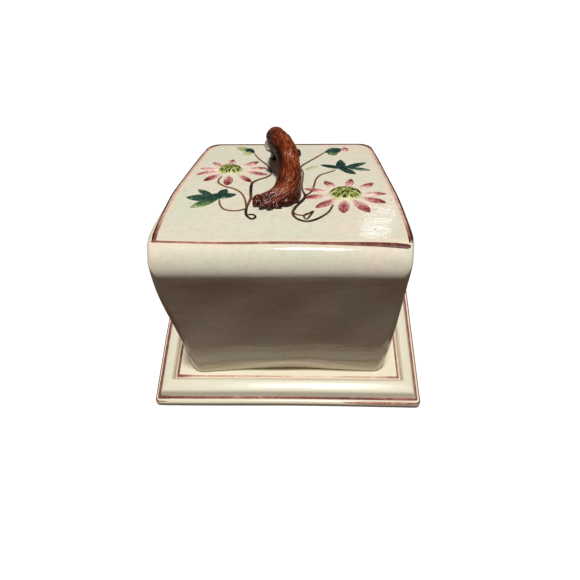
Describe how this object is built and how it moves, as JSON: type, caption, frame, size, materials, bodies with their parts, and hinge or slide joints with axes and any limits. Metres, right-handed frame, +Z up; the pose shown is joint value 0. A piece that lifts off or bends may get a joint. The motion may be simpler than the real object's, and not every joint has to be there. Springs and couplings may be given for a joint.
{
  "type": "covered butter dish",
  "caption": "Slant-topped glazed earthenware cover with a branch handle and sprigged flowers, standing in the well of a moulded rectangular plate.",
  "frame": {"origin": "centre of the box's underside, on the surface that the plate's foot stands on", "axes": "+X to the right of someone facing the tall front, +Y from the tall front to the low back, +Z up"},
  "size_m": [0.175, 0.192, 0.1302],
  "materials": {
    "cream_glaze": "glossy, faintly crazed",
    "bark_glaze": "glossy brown over carved bark",
    "twig_end_glaze": "glossy",
    "rose_glaze": "glossy, brushed",
    "seed_glaze": "glossy, brushed",
    "leaf_glaze": "glossy, brushed",
    "pale_leaf_glaze": "glossy, brushed",
    "vine_glaze": "glossy, trailed",
    "line_glaze": "glossy painted line"
  },
  "bodies": {
    "base": {"base_plate": "cream_glaze"},
    "cover": {"cover_shell": "cream_glaze", "branch_handle": "bark_glaze", "branch_root": "bark_glaze", "cut_twig": "twig_end_glaze", "twig_knot": "bark_glaze", "left_petals": "rose_glaze", "left_flower_centre": "seed_glaze", "right_petals": "rose_glaze", "right_flower_centre": "seed_glaze", "left_leaf": "leaf_glaze", "right_leaf": "leaf_glaze", "pale_leaf": "pale_leaf_glaze", "left_bud": "leaf_glaze", "right_bud": "leaf_glaze", "right_bud_tip": "rose_glaze", "left_vine": "vine_glaze", "left_tendrils": "vine_glaze", "right_vine": "vine_glaze", "right_tendrils": "vine_glaze"}
  },
  "joints": [
    {"name": "cover_lift", "type": "slide", "parent": "base", "child": "cover", "axis": [0, 0, 1], "range_m": [0, 0.16]}
  ]
}
